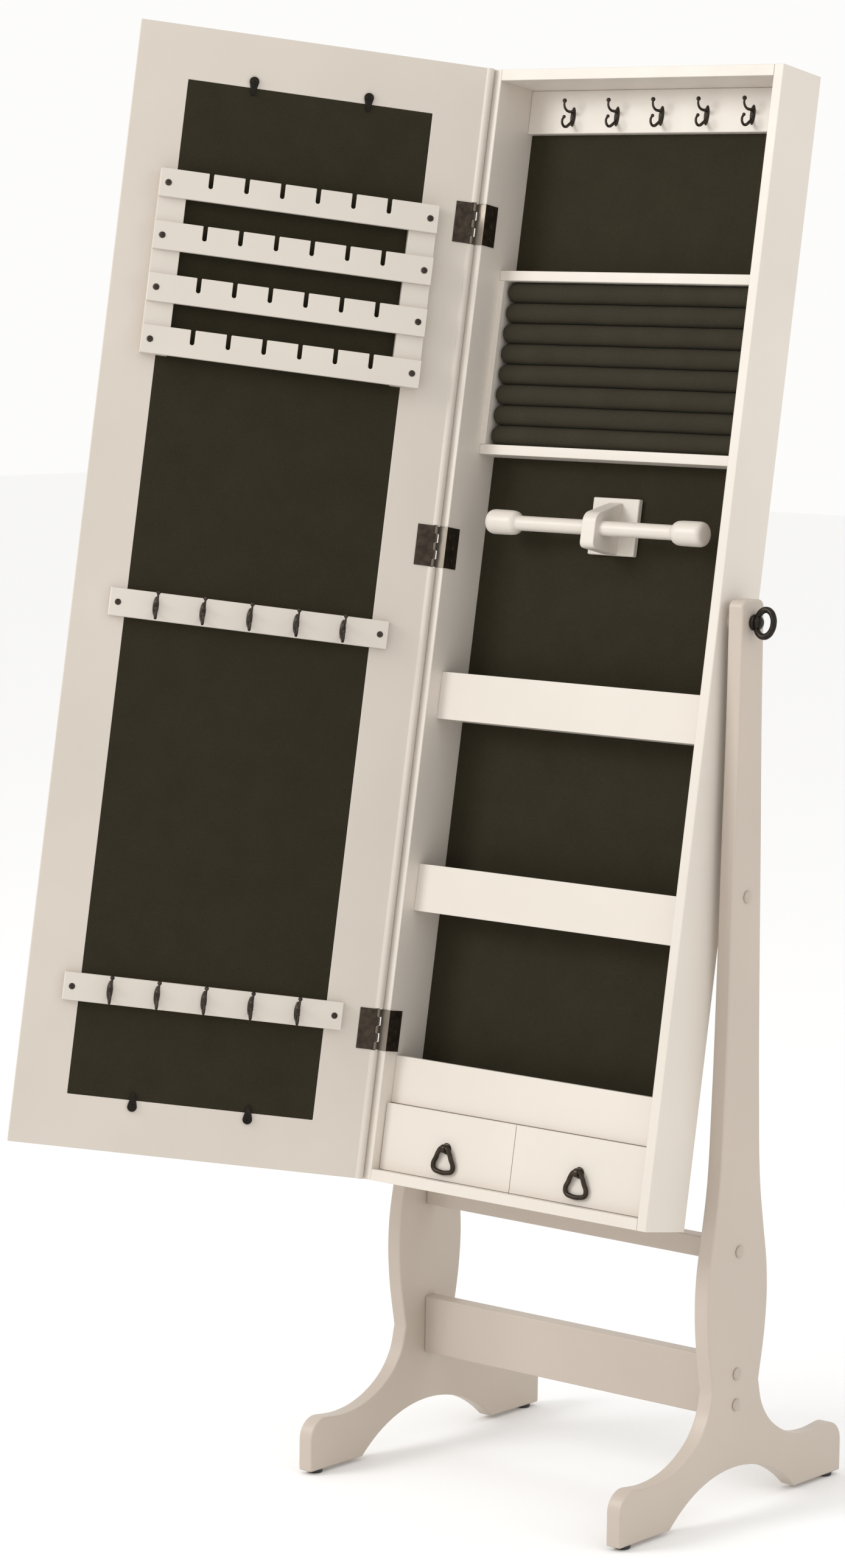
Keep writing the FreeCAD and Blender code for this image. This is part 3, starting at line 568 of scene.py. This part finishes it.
def double_hook(name):
    """Stands on the XZ plane at y = 0 and reaches towards -Y."""
    leaf = ball("leaf", (0, 0, 0), 1, (0.0033, 0.0026, 0.0108))
    bpy.ops.object.mode_set(mode="EDIT")
    bpy.ops.mesh.select_all(action="SELECT")
    bpy.ops.mesh.bisect(plane_co=(0, 0, 0), plane_no=(0, 1, 0), use_fill=True, clear_outer=True)
    bpy.ops.object.mode_set(mode="OBJECT")
    up = bent_wire("up", [(0, -0.0010, 0.0056), (0, -0.0068, 0.0044), (0, -0.0130, 0.0050),
                          (0, -0.0172, 0.0086), (0, -0.0178, 0.0138)],
                   [0.0019, 0.0016, 0.0014, 0.0012, 0.0011])
    down = bent_wire("down", [(0, -0.0010, -0.0056), (0, -0.0056, -0.0092), (0, -0.0110, -0.0126),
                              (0, -0.0160, -0.0118), (0, -0.0182, -0.0070), (0, -0.0158, -0.0030)],
                     [0.0020, 0.0017, 0.0016, 0.0014, 0.0013, 0.0012])
    tips = [ball("tip", (0, -0.0178, 0.0142), 0.0024), ball("tip", (0, -0.0157, -0.0027), 0.0019)]
    heads = [ball("head", (0, -0.0022, z), 0.0019, (1, 0.45, 1)) for z in (0.0026, -0.0026)]
    return made_one(name, leaf, up, down, *tips, *heads)


BATTEN_V, BATTEN_W0, BATTEN_W1, BATTEN_HOOK_W = 0.0555, 1.141, 1.188, 1.159
strip = settle(plank("hook_batten", (-INSIDE_U, BATTEN_V, BATTEN_W0), (INSIDE_U, FACE_V, BATTEN_W1)), CASE)
ease(strip, 0.0012, 3)
fitting_paint = paint("fitting_cream_paint", CREAM, 0.38)
wear(strip, fitting_paint, "case", "fitting_paint", "hook_strip")
hook_bronze = bronze("hook_bronze")
spots = [CASE @ Matrix.Translation((0.059 * i, BATTEN_V, BATTEN_HOOK_W)) for i in range(-2, 3)]
hooks = copies(double_hook("batten_hooks"), spots)
wear(hooks, hook_bronze, "case", "bronze_hardware", "strip_hooks")

# ---- the bracelet bar ----
# A square painted plate is screwed to the back, and its sloped arm is bored to hold a turned bar.
# The bar swells into a barrel knob at each end.
BAR_V, BAR_W = 0.027, 0.7165
plate = plank("plate", (-0.0305, 0.0565, 0.691), (0.0305, 0.0633, 0.752))
ease(plate, 0.0014, 3)
arm_line = [(0.0575, 0.6915), (0.0575, 0.7475)]
arm_line += bow((0.0230, 0.7340), (0.0158, 0.7295), (0.0130, 0.7220), 5)
arm_line += bow((0.0130, 0.7000), (0.0146, 0.6958), (0.0190, 0.6938), 5)
arm = sawn_board("arm", arm_line, -0.009, 0.009)
ease(arm, 0.0012, 3)
bracket = settle(made_one("bracelet_arm", plate, arm), CASE)
wear(bracket, fitting_paint, "case", "fitting_paint", "bracelet_bracket")
half_bar = [(0.1000, 0.0080), (0.1022, 0.0082), (0.1036, 0.0096), (0.1052, 0.0114), (0.1080, 0.0127),
            (0.1130, 0.0132), (0.1240, 0.0133), (0.1350, 0.0133), (0.1378, 0.0129), (0.1400, 0.0119),
            (0.1414, 0.0103), (0.1420, 0.0080), (0.1421, 0.0012)]
bar = turned("bracelet_bar_turned", [(-x, r) for x, r in reversed(half_bar)] + half_bar, 48)
ease(bar, 0)
settle(bar, CASE @ aim(0, BAR_V, BAR_W, (1, 0, 0)))
wear(bar, fitting_paint, "case", "fitting_paint", "bracelet_bar")

# ---- the drawers ----
# Two small drawers side by side in the bottom: a painted front, and a thin tray lined with felt.
HANDS = {"left": -1, "right": 1}
drawer_paint = paint("drawer_cream_paint", CREAM)
tray_paint = paint("tray_cream_paint", (0.66, 0.60, 0.53), 0.5)
drawer_felt = felt("drawer_felt_lining")
FRONT_U0, FRONT_U1, FRONT_V0, FRONT_V1, FRONT_W0, FRONT_W1 = 0.00035, 0.1773, 0.0125, 0.0225, 0.0124, 0.0841
for hand, s in HANDS.items():
    u0, u1 = sorted((s * FRONT_U0, s * FRONT_U1))
    front = settle(plank(f"drawer_face_{hand}", (u0, FRONT_V0, FRONT_W0), (u1, FRONT_V1, FRONT_W1)), CASE)
    ease(front, 0.0005, 2)
    wear(front, drawer_paint, f"drawer_{hand}", "case_paint", f"drawer_front_{hand}")
    tray = ease(welded(f"drawer_box_{hand}", f"drawer_tray_{hand}"), 0.0005, 1)
    wear(tray, tray_paint, f"drawer_{hand}", "case_paint", f"drawer_tray_{hand}")
    flat = (0.1615, 0.0355)
    lining = felt_sheet(f"drawer_felt_{hand}", *flat, thick=0.0009)
    settle(lining, CASE @ Matrix.Translation((s * 0.091, 0.04075, 0.0155)))
    wear(lining, drawer_felt, f"drawer_{hand}", "felt")

# ---- the drawer pulls ----
# A pear-shaped ring of thick bronzed wire hangs from a lug on a small round rosette.
PULL_U, PULL_V, PULL_W = 0.088825, 0.0077, 0.0465
PULL_WIRE, PULL_HANG = 0.0026, math.radians(4.6)
pull_bronze = bronze("pull_bronze", (0.026, 0.019, 0.013), 0.34)
PEAR = [(-0.0036, 0.0002), (0.0036, 0.0002), (0.0074, -0.0042), (0.0103, -0.0108), (0.0133, -0.0172),
        (0.0121, -0.0226), (0.0056, -0.0250), (-0.0056, -0.0250), (-0.0121, -0.0226), (-0.0133, -0.0172),
        (-0.0103, -0.0108), (-0.0074, -0.0042)]
for hand, s in HANDS.items():
    hang = CASE @ Matrix.Translation((s * PULL_U, PULL_V, PULL_W))
    rosette = turned("rosette", [(-0.0048, 0.0060), (-0.0043, 0.0061), (-0.0038, 0.0055), (-0.0034, 0.0042),
                                 (-0.0032, 0.0018)])
    settle(rosette, aim(0, 0, 0, (0, -1, 0)))
    lug = turned("lug", [(-0.0033, 0.0030), (-0.0029, 0.0042), (-0.0018, 0.0047), (0.0018, 0.0047),
                         (0.0029, 0.0042), (0.0033, 0.0030)])
    settle(lug, aim(0, 0.0004, 0, (1, 0, 0)))
    neck = plank("neck", (-0.0026, 0.0, -0.0036), (0.0026, 0.0044, 0.0036))
    staple = settle(made_one(f"pull_lug_{hand}", ease(rosette, 0), ease(lug, 0), ease(neck, 0.0010, 3)), hang)
    wear(staple, pull_bronze, f"drawer_{hand}", "bronze_hardware", f"pull_staple_{hand}")
    loop = [(x, 0, z) for x, z in PEAR]
    ring = bent_wire(f"pull_pear_{hand}", loop, [PULL_WIRE] * len(loop), closed=True)
    settle(ring, hang @ Matrix.Rotation(PULL_HANG, 4, "X"))
    wear(ring, pull_bronze, f"pull_{hand}", "bronze_hardware", f"pull_ring_{hand}")

# ---- the hinges ----
# Three bronzed butt hinges of five knuckles.  One leaf folds over the case's edge on to its
# inside wall, the other lies on the door, and each is held by small countersunk screws.
PIN_U, PIN_V = -0.190, -0.005
OPEN = math.radians(133)
DOOR = CASE @ Matrix.Translation((PIN_U, PIN_V, 0)) @ Matrix.Rotation(-OPEN, 4, "Z")
DOOR = DOOR @ Matrix.Translation((-PIN_U, -PIN_V, 0))
HINGES = (0.161, 0.683, 1.032)
HINGE_TONE, HINGE_ROUGH = (0.034, 0.025, 0.018), 0.34
hinge_bronze = bronze("hinge_bronze", HINGE_TONE, HINGE_ROUGH)


def add_painted_highlight(mat, bright):
    """Bronze with a painted highlight mixed into its colour, as strong as the piece's own mask attribute
    says.
    """
    nodes, links = mat.node_tree.nodes, mat.node_tree.links
    base = nodes["Principled BSDF"].inputs["Base Color"]
    dark = base.links[0].from_socket
    mask = nodes.new("ShaderNodeAttribute")
    mask.attribute_name = "painted_highlight_mask"
    blend = nodes.new("ShaderNodeMix")
    blend.data_type = "RGBA"
    blend.inputs[7].default_value = list(bright) + [1]
    links.new(mask.outputs["Fac"], blend.inputs[0])
    links.new(dark, blend.inputs[6])
    links.new(blend.outputs[2], base)
    return mat


KNUCKLE_R = 0.0034
# The hinge bronze carries painted light: a painted highlight on the knuckles, and a stronger painted
# reflection on the case leaf's part folded over the front edge.
painted_highlight_bronze = add_painted_highlight(bronze("hinge_painted_highlight_bronze", HINGE_TONE, HINGE_ROUGH), (0.30, 0.26, 0.21))
for leaf in ("case", "door"):
    plates = ease(welded(f"hinge_{leaf}_plates", f"hinge_{leaf}_leaves"), 0.00025, 2)
    painted_highlight_mask = plates.data.attributes.new("painted_highlight_mask", "FLOAT", "CORNER")
    # Mask of painted light: 0.55 as painted highlight on the knuckles, 0.85 as painted reflection on the
    # folded part facing front, none elsewhere.
    for face in plates.data.polygons:
        spot = CASE.inverted() @ face.center
        facing = CASE.to_3x3().inverted() @ face.normal
        knuckle = math.hypot(spot.x - PIN_U, spot.y - PIN_V) < KNUCKLE_R
        folded = leaf == "case" and facing.y < -0.7
        for corner in face.loop_indices:
            painted_highlight_mask.data[corner].value = 0.55 if knuckle else 0.85 if folded else 0.0
    wear(plates, painted_highlight_bronze, leaf, "bronze_hardware", f"hinge_{leaf}_leaves")
finish_node(bronze("hinge_pin_bronze", (0.09, 0.075, 0.06), 0.3), "hinge_pins")


def cross_screw(name, radius, rise):
    """A small domed screw head with a cross cut in it."""
    head = turned(name, [(-rise, radius), (rise * 0.15, radius), (rise * 0.55, radius * 0.90),
                         (rise * 0.85, radius * 0.66), (rise, radius * 0.34)], 20)
    slots = []
    for turn in (0, 90):
        low = (-radius * 0.5, -radius * 0.11, rise * 0.45)
        bar = plank("slot", low, (radius * 0.5, radius * 0.11, rise * 2))
        bar.rotation_euler.z = math.radians(turn)
        slots.append(bar)
    for bar in slots:
        pick(head)
        modify(head, "BOOLEAN", operation="DIFFERENCE", object=bar, solver="EXACT")
    for bar in slots:
        bpy.data.objects.remove(bar)
    return ease(head, 0)


LEAF_FACE_U, LEAF_SCREW = -0.177, 0.0135
spots = [CASE @ aim(LEAF_FACE_U, LEAF_SCREW, w + dw, (1, 0, 0))
         for w in HINGES for dw in (-LEAF_SCREW, LEAF_SCREW, 0)]
wear(copies(cross_screw("hinge_case_screws", 0.0026, 0.0005), spots), hinge_bronze, "case", "bronze_hardware")
spots = [DOOR @ aim(PIN_U + 0.0125, -0.0018, w + dw, (0, 1, 0))
         for w in HINGES for dw in (-LEAF_SCREW, 0, LEAF_SCREW)]
wear(copies(cross_screw("hinge_door_screws", 0.0026, 0.0005), spots), hinge_bronze, "door", "bronze_hardware")

# ---- the screws in the back board ----
# Small zinc screws hold the back board all round its edge.
back_zinc = plated("back_screw_zinc", (0.5, 0.5, 0.49), 0.35)
spots = [CASE @ aim(u, BACK_V, w, (0, 1, 0))
         for u in (-0.176, 0.176) for w in (0.05, 0.325, 0.60, 0.875, 1.15)]
spots += [CASE @ aim(u, BACK_V, w, (0, 1, 0)) for u in (-0.06, 0.06) for w in (0.02, 1.18)]
wear(copies(cross_screw("back_board_screws", 0.0032, 0.0009), spots), back_zinc, "case", "steel_fixings")

# ---- the door ----
# A wide painted frame whose outer edges are well rounded.  A flat mirror lies in its rebate,
# and a felt-covered board behind it shows on the inside.
# The door's cream is the case's cream made darker: painted shade, since the open door's inside is turned away
# from the light.
DOOR_CREAM_PAINTED_SHADE = (0.605, 0.545, 0.478)
door_paint = paint("door_cream_painted_shade", DOOR_CREAM_PAINTED_SHADE)
board = ease(welded("door_board", "door_frame"), 0.0007, 2)
wear(board, door_paint, "door", "door_paint", "door_frame")
silver = plated("mirror_silver", (0.86, 0.88, 0.87), 0.02)
fill(silver.node_tree.nodes["Bump"], Strength=0.0)
fill(silver.node_tree.nodes["Noise Texture"], Scale=3.0)
for step, shade in zip(silver.node_tree.nodes["Color Ramp"].color_ramp.elements, (0.855, 0.87)):
    step.color = (shade, shade * 1.015, shade * 1.008, 1)
finish_node(silver, "mirror")
panel = settle(plank("door_felt_board", (-0.1327, -0.0075, 0.0573), (0.1307, -0.0028, 1.1427)), DOOR)
ease(panel, 0.0008, 2)
wear(panel, felt("door_felt"), "door", "felt_board", "mirror_backing")

# ---- the turn-buttons ----
# Four small bronzed teardrops, each on one screw, turn aside to let the board out.
HEAD_R, TIP_R, REACH = 0.0052, 0.0019, 0.0135
BUTTON_V, BUTTON_THICK = -0.0024, 0.0024
drop = [Vector((HEAD_R * math.sin(a), HEAD_R * math.cos(a)))
        for a in (math.radians(d) for d in range(-100, 101, 20))]
drop += [Vector((TIP_R * math.sin(a), TIP_R * math.cos(a) - REACH))
         for a in (math.radians(d) for d in range(100, 261, 40))]
clip_bronze = bronze("turn_button_bronze", (0.010, 0.008, 0.006), 0.40)
for name, u, w, turn in (("top_hinge", -0.063, 1.150, 0), ("top_free", 0.061, 1.150, 0),
                         ("bottom_hinge", -0.063, 0.050, 180), ("bottom_free", 0.061, 0.050, 180)):
    button = sawn_board("button", [(-p.x, p.y) for p in drop], 0, BUTTON_THICK)
    ease(button, 0.0007, 3)
    button.data.transform(Matrix.Rotation(math.radians(90), 4, "Z"))
    head = cross_screw("head", 0.0032, 0.0010)
    head.data.transform(aim(0, BUTTON_THICK, 0, (0, 1, 0)))
    both = made_one(f"turn_button_{name}", button, head)
    settle(both, DOOR @ Matrix.Translation((u, BUTTON_V, w)) @ Matrix.Rotation(math.radians(turn), 4, "Y"))
    wear(both, clip_bronze, f"clip_{name}", "bronze_hardware", f"panel_clip_{name}")

# ---- the earring rack ----
# Two upright strips carry four painted rails, each with six round-bottomed notches for earrings.
# The rack's cream is also a darker copy of the case's cream: painted shade for pieces on the door's inside.
rack_paint_painted_shade = paint("rack_cream_painted_shade", (0.645, 0.588, 0.522))
RAIL_U0, RAIL_U1, RAIL_V0 = -0.151, 0.149, -0.0025
STRIP_WIDE = 0.030
strips = [plank("strip", (u, RAIL_V0, 0.847), (u + STRIP_WIDE, 0.0075, 1.044))
          for u in (RAIL_U0, RAIL_U1 - STRIP_WIDE)]
strips = settle(made_one("rack_uprights", *[ease(strip, 0.0009, 2) for strip in strips]), DOOR)
wear(strips, rack_paint_painted_shade, "door", "door_paint", "rack_strips")
for number in range(1, 5):
    rail = ease(welded(f"earring_rail_{number}_board", f"earring_rail_{number}"), 0.0007, 2)
    wear(rail, rack_paint_painted_shade, "door", "door_paint", f"earring_rail_{number}")

# ---- the door's hook rails ----
# Two painted battens across the felt board, with five double hooks on each.
HOOK_RAILS, HOOK_RAIL_V, HALF_TALL = (0.171, 0.5815), 0.0055, 0.015
for name, w in zip(("lower", "upper"), HOOK_RAILS):
    low, high = (RAIL_U0, RAIL_V0, w - HALF_TALL), (RAIL_U1, HOOK_RAIL_V, w + HALF_TALL)
    rail = settle(plank(f"hook_rail_{name}_board", low, high), DOOR)
    ease(rail, 0.0011, 3)
    wear(rail, rack_paint_painted_shade, "door", "door_paint", f"hook_rail_{name}")
about = Matrix.Rotation(math.pi, 4, "Z")
spots = [DOOR @ Matrix.Translation((-0.001 + 0.0503 * i, HOOK_RAIL_V, w)) @ about
         for w in HOOK_RAILS for i in range(-2, 3)]
hooks = copies(double_hook("door_rail_hooks"), spots)
wear(hooks, hook_bronze, "door", "bronze_hardware", "door_hooks")

# ---- the screws in the rails ----
# One bronzed round-head screw near each end of every rail.
EARRING_RAILS, EARRING_RAIL_V = (0.862, 0.9175, 0.973, 1.029), 0.0135
ends = (RAIL_U0 + 0.009, RAIL_U1 - 0.009)
spots = [DOOR @ aim(u, EARRING_RAIL_V, w, (0, 1, 0)) for w in EARRING_RAILS for u in ends]
spots += [DOOR @ aim(u, HOOK_RAIL_V, w, (0, 1, 0)) for w in HOOK_RAILS for u in ends]
rail_screws = copies(cross_screw("rail_screws", 0.0034, 0.0010), spots)
wear(rail_screws, hook_bronze, "door", "bronze_hardware", "door_screws")

# ---- the ring bolts ----
# A bronzed bolt with a collar, a ball and a cast oval ring passes through each post into the case.
bolt_bronze = bronze("ring_bolt_bronze", (0.016, 0.013, 0.010), 0.36)
RING_U, RING_REACH, RING_TALL, RING_WIRE = 0.2306, 0.0106, 0.0138, 0.0034
around = [math.radians(30 * k) for k in range(12)]
for hand, s in HANDS.items():
    shank = turned("shank", [(0.1805, 0.0036), (0.1815, 0.0040), (0.217, 0.0040)], 24)
    collar = turned("collar", [(0.2164, 0.0070), (0.2168, 0.0082), (0.2178, 0.0085), (0.2190, 0.0084),
                               (0.2200, 0.0072), (0.2206, 0.0056), (0.2212, 0.0062), (0.2226, 0.0072),
                               (0.2242, 0.0070), (0.2256, 0.0058), (0.2264, 0.0040), (0.2268, 0.0012)])
    for part in (shank, collar):
        ease(part, 0)
        settle(part, aim(0, 0, 0, (s, 0, 0)))
    oval = [(s * (RING_U + RING_REACH * math.cos(a)), 0, RING_TALL * math.sin(a)) for a in around]
    ring = bent_wire("ring", oval, [RING_WIRE] * len(oval), closed=True)
    bolt = made_one(f"ring_bolt_{hand}_cast", shank, collar, ring)
    settle(bolt, CASE @ Matrix.Translation((0, PIVOT_V, PIVOT_W)))
    wear(bolt, bolt_bronze, f"ring_bolt_{hand}", "bronze_hardware", f"ring_bolt_{hand}")

# ---- the studio ----
# A wide pale floor, a large soft light from the front left and a weak one from the right,
# under an even white sky.  The camera stands at the front right, 1.3 m up.
bpy.ops.mesh.primitive_plane_add(size=1, location=(0, 0, 0))
floor = bpy.context.object
floor.name = floor.data.name = "studio_floor"
floor.scale = (30, 30, 1)
bpy.ops.object.transform_apply(location=True, rotation=True, scale=True)
floor_mat = bpy.data.materials.new("studio_floor_white")
floor_mat.use_nodes = True
fill(floor_mat.node_tree.nodes["Principled BSDF"], Base_Color=(0.95, 0.95, 0.95, 1), Roughness=0.9)
floor.data.materials.append(floor_mat)
sky = bpy.data.worlds.new("studio_sky")
bpy.context.scene.world = sky
sky.use_nodes = True
fill(sky.node_tree.nodes["Background"], Color=(1.0, 0.995, 0.985, 1), Strength=0.98)
for name, spot, aimed, power, size in (("key", (-2.1, -3.4, 3.0), (0.1, 0.1, 0.9), 82, 1.8),
                                       ("side", (3.6, 0.3, 1.9), (0.2, 0.1, 1.1), 11, 1.6)):
    bpy.ops.object.light_add(type="AREA", location=spot)
    lamp = bpy.context.object
    lamp.name, lamp.data.energy, lamp.data.size = name, power, size
    lamp.rotation_euler = (Vector(aimed) - Vector(spot)).to_track_quat("-Z", "Y").to_euler()

bpy.context.scene.view_settings.view_transform = "Standard"
EYE = (2.87486, -3.50972, 1.30107)
YAW, PITCH, ROLL = math.radians(39.583), math.radians(-6.956), math.radians(0.758)
ahead = Vector((-math.sin(YAW) * math.cos(PITCH), math.cos(YAW) * math.cos(PITCH), math.sin(PITCH)))
level = Vector((math.cos(YAW), math.sin(YAW), 0))
above = level.cross(ahead)
right = level * math.cos(ROLL) + above * math.sin(ROLL)
upward = -level * math.sin(ROLL) + above * math.cos(ROLL)
camera_data = bpy.data.cameras.new("view")
camera_data.sensor_width = 36.0
camera_data.lens = 99.65
camera_data.clip_end = 60
camera = bpy.data.objects.new("view", camera_data)
bpy.context.collection.objects.link(camera)
camera.matrix_world = Matrix.Translation(EYE) @ Matrix((right, upward, -ahead)).transposed().to_4x4()
bpy.context.scene.camera = camera
